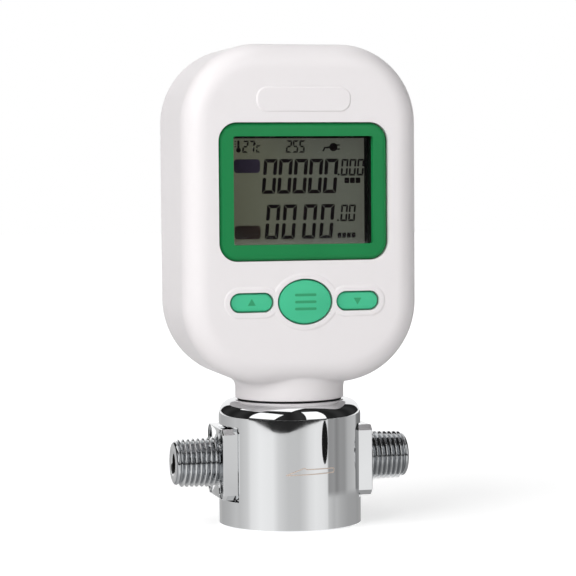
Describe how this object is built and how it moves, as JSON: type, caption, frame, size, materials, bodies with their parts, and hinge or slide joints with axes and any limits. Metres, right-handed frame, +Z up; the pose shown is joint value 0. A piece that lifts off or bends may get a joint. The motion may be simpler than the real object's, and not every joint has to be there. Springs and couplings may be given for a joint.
{
  "type": "thermal mass flow meter",
  "caption": "Gas flow meter with a plated body, a threaded port on each side and a swivelling display head with keys and a battery bay.",
  "frame": {"origin": "centre of the flow body's flat base", "axes": "+Z up through the head, +X against the flow towards the inlet, -Y out of the display"},
  "size_m": [0.0672, 0.0404, 0.1335],
  "materials": {
    "plated_body": "bright nickel plate",
    "stainless": "machined stainless steel",
    "spring_steel": "plated spring steel",
    "rubber_black": "moulded rubber",
    "shell_white": "fine satin moulded plastic",
    "bezel_green": "satin dark green plastic",
    "key_green": "satin mint green plastic",
    "clear_lens": "clear flat window",
    "frame_black": "black moulded plastic",
    "lcd_grey": "grey green display glass",
    "light_white": "white diffuser",
    "board_green": "solder mask on glass fibre board",
    "chip_black": "black mould compound",
    "header_cream": "cream nylon",
    "swivel_grey": "glass filled plastic",
    "cell_wrap": "plain wrapped cell",
    "lead_red": "wire insulation",
    "cable_grey": "cable jacket"
  },
  "bodies": {
    "base": {"flow_body": "plated_body", "inlet_fitting": "plated_body", "outlet_fitting": "plated_body", "fitting_seals": "rubber_black", "flange_screws": "stainless", "flow_screens": "stainless", "screen_spacers": "stainless", "sensor_carrier": "swivel_grey", "sensor_seal": "rubber_black", "sensor_blade": "board_green", "sensor_board": "board_green", "sensor_socket": "header_cream", "swivel_spigot": "swivel_grey", "spigot_screws": "stainless", "neck_seal": "rubber_black", "swivel_nut": "stainless"},
    "head": {"front_shell": "shell_white", "back_shell": "shell_white", "shell_gasket": "rubber_black", "shell_screws": "stainless", "display_bezel": "bezel_green", "window_lens": "clear_lens", "lcd_frame": "frame_black", "lcd_glass": "lcd_grey", "lcd_backlight": "light_white", "lcd_pins": "stainless", "main_board": "board_green", "board_screws": "stainless", "board_chips": "chip_black", "key_switches": "chip_black", "cable_plug": "header_cream", "sensor_cable": "cable_grey", "battery_holder": "frame_black", "battery_cells": "cell_wrap", "contact_plates": "spring_steel", "contact_springs": "spring_steel", "battery_leads": "lead_red", "power_jack": "chip_black", "jack_nut": "stainless", "jack_leads": "lead_red"},
    "menu_key": {"menu_button": "key_green", "menu_plunger": "header_cream"},
    "up_key": {"up_button": "key_green", "up_plunger": "header_cream"},
    "down_key": {"down_button": "key_green", "down_plunger": "header_cream"},
    "battery_lid": {"battery_door": "shell_white"}
  },
  "joints": [
    {"name": "head_swivel", "type": "hinge", "parent": "base", "child": "head", "pos_m": [0, 0, 0.0354], "axis": [0, 0, 1], "range_deg": [-90, 90]},
    {"name": "menu_press", "type": "slide", "parent": "head", "child": "menu_key", "axis": [0, 1, 0], "range_m": [0, 0.0005], "stiffness_N_per_m": 3000, "springref_m": -0.0001},
    {"name": "up_press", "type": "slide", "parent": "head", "child": "up_key", "axis": [0, 1, 0], "range_m": [0, 0.0005], "stiffness_N_per_m": 3000, "springref_m": -0.0001},
    {"name": "down_press", "type": "slide", "parent": "head", "child": "down_key", "axis": [0, 1, 0], "range_m": [0, 0.0005], "stiffness_N_per_m": 3000, "springref_m": -0.0001},
    {"name": "battery_lid_hinge", "type": "hinge", "parent": "head", "child": "battery_lid", "pos_m": [0, 0.0192, 0.1138], "axis": [1, 0, 0], "range_deg": [0, 90]}
  ]
}
